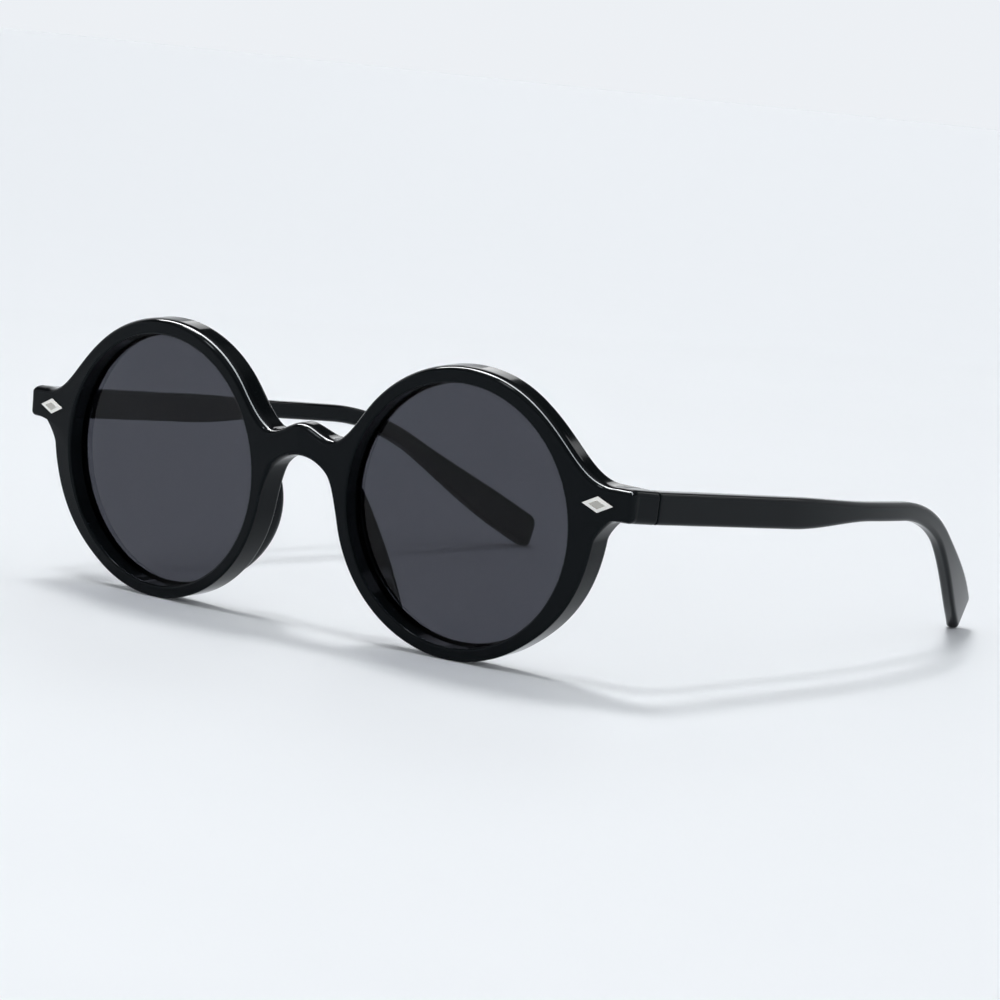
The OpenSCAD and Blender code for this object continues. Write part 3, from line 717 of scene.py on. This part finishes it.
waist = ease((along - WAIST_FROM) / (WAIST_TO - WAIST_FROM))
paddle = ease((along - PADDLE_FROM) / (PADDLE_TO - PADDLE_FROM))
tall = mix(END_H - SEAM_STEP, WAIST_H, waist) + (PADDLE_H - WAIST_H) * paddle
lift = WAIST_LIFT * waist * (1 - paddle)
thick = mix(SIDE_T - SEAM_STEP, TEMPLE_T, ease((along - THIN_FROM) / (THIN_TO - THIN_FROM)))
# The tip is cut at a slant: its upper edge is the shorter one
slant = TIP_SLANT * ease((along - TEMPLE_L + SLANT_L) / SLANT_L)
# Drawn in at the seam by a quarter circle and at the tip by a quarter ellipse
at_start = np.clip(1 - (along - SEAM_GAP) / START_R, 0, 1)
at_tip = np.clip(1 - (TEMPLE_L - along) / TIP_ROUND, 0, 1)
inset = START_R * (1 - np.sqrt(1 - at_start ** 2)) + TIP_CUT * (1 - np.sqrt(1 - at_tip ** 2))
wide, high = thick - 1.4 * inset, tall - 2 * inset
# A section is a rectangle with round corners, and four more points on each side between them
corner_r = np.minimum(TEMPLE_R, 0.45 * np.minimum(high, wide))
corners = []
for k, (to_x, to_z) in enumerate(((1, 1), (-1, 1), (-1, -1), (1, -1))):
    for q in np.radians(np.linspace(90 * k, 90 * k + 90, CORNER_POINTS)):
        corners.append((to_x * (wide / 2 - corner_r) + corner_r * math.cos(q),
                        to_z * (high / 2 - corner_r) + corner_r * math.sin(q)))
section = []
for k, (a, b) in enumerate(zip(corners, corners[1:] + corners[:1])):
    section.append(a)
    if k % CORNER_POINTS == CORNER_POINTS - 1:
        section += [(mix(a[0], b[0], w), mix(a[1], b[1], w)) for w in (0.06, 0.35, 0.65, 0.94)]
temple_rails = []
for x, v in section:
    hug, run, drop = middle_at(along - slant * (v + high / 2))
    temple_rails.append(to_side(x - thick / 2 - hug, run + (v + lift) * np.sin(slope_at(along)),
                                (v + lift) * np.cos(slope_at(along)) - drop))
rows, columns = len(temple_rails), len(along)
temple_faces = [*grid(rows, columns, close_rows=True).tolist(), [k * columns for k in range(rows)],
                [k * columns + columns - 1 for k in range(rows)]]
mirror_faces = [[k + rows * columns for k in f] for f in temple_faces]
temple_pair = mesh_of("temples", with_mirror(temple_rails), temple_faces + mirror_faces, SHARP)
temple_pair = cut(temple_pair, [leaf_pocket(1, TEMPLE_LEAF_L)], SHARP)
temple_pair = cut(temple_pair, peg_bores(1, TEMPLE_LEAF_L), SHARP)
for side, sign in (("left", 1), ("right", -1)):
    work = bmesh.new()
    work.from_mesh(temple_pair)
    bmesh.ops.delete(work, geom=[v for v in work.verts if v.co.x * sign < 0], context="VERTS")
    mesh = bpy.data.meshes.new(f"temple_{side}_moulding")
    work.to_mesh(mesh)
    work.free()
    moved(mesh, stand)
    smoothed(mesh, SHARP)
    mounted(mesh, black, f"temple_{side}", "gloss_black", f"temple_{side}")

# Table and light. A pale matt table, wide enough to reach the horizon, in a bright tent. The walls of the
# tent are white near the table and overhead, with a dark band between, which the rims' tops mirror.
TABLE_REACH = 15.0  # metres from the middle to each edge
table_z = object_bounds()[0].z
# Pressed laminate with a fine matt grain: it takes the soft shadow and hardly mirrors
pale, tree = material("pale_matt_laminate")
feed(tree, tree.nodes["Principled BSDF"], Base_Color=srgb("#f3f6f9"), Specular_IOR_Level=0.1,
     Roughness=uneven(tree, 30, 0.6, 0.7))
floor_mesh = bpy.data.meshes.new("table")
floor_corners = [(x * TABLE_REACH, y * TABLE_REACH, table_z)
                 for x, y in ((-1, -1), (1, -1), (1, 1), (-1, 1))]
floor_mesh.from_pydata(floor_corners, [], [(0, 1, 2, 3)])
floor_mesh.materials.append(pale)
floor = bpy.data.objects.new("table", floor_mesh)
bpy.context.scene.collection.objects.link(floor)

world = bpy.data.worlds.new("studio")
bpy.context.scene.world = world
world.use_nodes = True
tree = world.node_tree
direction = add(tree, "ShaderNodeTexCoord").outputs["Generated"]
rise = add(tree, "ShaderNodeSeparateXYZ", Vector=direction).outputs["Z"]
walls = add(tree, "ShaderNodeValToRGB", Fac=rise)
# Sine of the angle above the horizon, and the brightness there, in a slightly blue white
BANDS = [(0.0, 0.89), (0.4, 0.89), (0.55, 0.05), (0.7, 0.05), (0.85, 0.62)]
COOL = (0.95, 0.98, 1.02)
ramp = walls.color_ramp
while len(ramp.elements) < len(BANDS):
    ramp.elements.new(0.5)
for element, (at, bright) in zip(ramp.elements, BANDS):
    element.position, element.color = at, (*(part * bright for part in COOL), 1)
feed(tree, tree.nodes["Background"], Color=walls.outputs["Color"], Strength=1.0)


def sun(name, towards, spread, share):
    """A distant lamp, spread degrees across; a white face square to it shows share of full white."""
    light = bpy.data.lights.new(name, "SUN")
    light.angle, light.energy = math.radians(spread), math.pi * share
    made = bpy.data.objects.new(name, light)
    made.rotation_mode = "QUATERNION"
    made.rotation_quaternion = Vector(towards).to_track_quat("Z", "Y")
    bpy.context.scene.collection.objects.link(made)


sun("key_over_left_shoulder", (-0.4, 0.3, 0.87), 14, 0.31)
sun("fill_over_camera", (-0.1, -0.15, 0.98), 10, 0.16)
sun("low_from_behind", (-0.49, 0.77, 0.42), 16, 0.04)
sun("window_behind_right", (0.25, 0.79, 0.55), 12, 0.035)

# A long strip lamp over the glasses, a little askew: it lights nothing matt and shows only where it
# is mirrored, as the fine white lines on the edges. Lengths are in metres, and its power is its
# brightness times pi times its area.
STRIP_L = 2.4
STRIP_W = 0.16
STRIP_PLACE = (0, 0.28, 1.0)
STRIP_TURN = -12  # degrees from the X axis
STRIP_BRIGHT = 45
strip_light = bpy.data.lights.new("strip_overhead", "AREA")
strip_light.shape, strip_light.size, strip_light.size_y = "RECTANGLE", STRIP_L, STRIP_W
strip_light.energy = STRIP_BRIGHT * math.pi * STRIP_L * STRIP_W
strip = bpy.data.objects.new("strip_overhead", strip_light)
strip.location, strip.rotation_euler = STRIP_PLACE, (0, 0, math.radians(STRIP_TURN))
strip.visible_diffuse = strip.visible_camera = False
bpy.context.scene.collection.objects.link(strip)

# Camera as the photograph was taken: from the wearer's front left, a little above the rims. Its angles,
# focal length and place were fitted to edges of the rims, and are in the front's frame.
FOCAL_PX = 3796.94
FRAME_PX = 1000
SENSOR_MM = 36.0
AZIMUTH = math.radians(36.224)
ELEVATION = math.radians(10.001)
ROLL = math.radians(3.139)
DISTANCE = 710.31
TARGET = np.array([23.474, 30.0, -2.092])

back_v = np.array([math.sin(AZIMUTH) * math.cos(ELEVATION), -math.cos(AZIMUTH) * math.cos(ELEVATION),
                   math.sin(ELEVATION)])
level_v = np.array([math.cos(AZIMUTH), math.sin(AZIMUTH), 0])
up_v = np.cross(back_v, level_v)
right_v = level_v * math.cos(ROLL) + up_v * math.sin(ROLL)
up_v = up_v * math.cos(ROLL) - level_v * math.sin(ROLL)
camera_data = bpy.data.cameras.new("camera")
camera_data.sensor_width = SENSOR_MM
camera_data.lens = SENSOR_MM * FOCAL_PX / FRAME_PX
camera_data.clip_start, camera_data.clip_end = 0.01, 100
camera = bpy.data.objects.new("camera", camera_data)
turn = np.column_stack([leaned(right_v), leaned(up_v), leaned(back_v), stand(TARGET + DISTANCE * back_v)])
camera.matrix_world = Matrix([[*row] for row in turn] + [[0, 0, 0, 1]])
bpy.context.scene.collection.objects.link(camera)
bpy.context.scene.camera = camera
bpy.context.scene.view_settings.view_transform = "Standard"
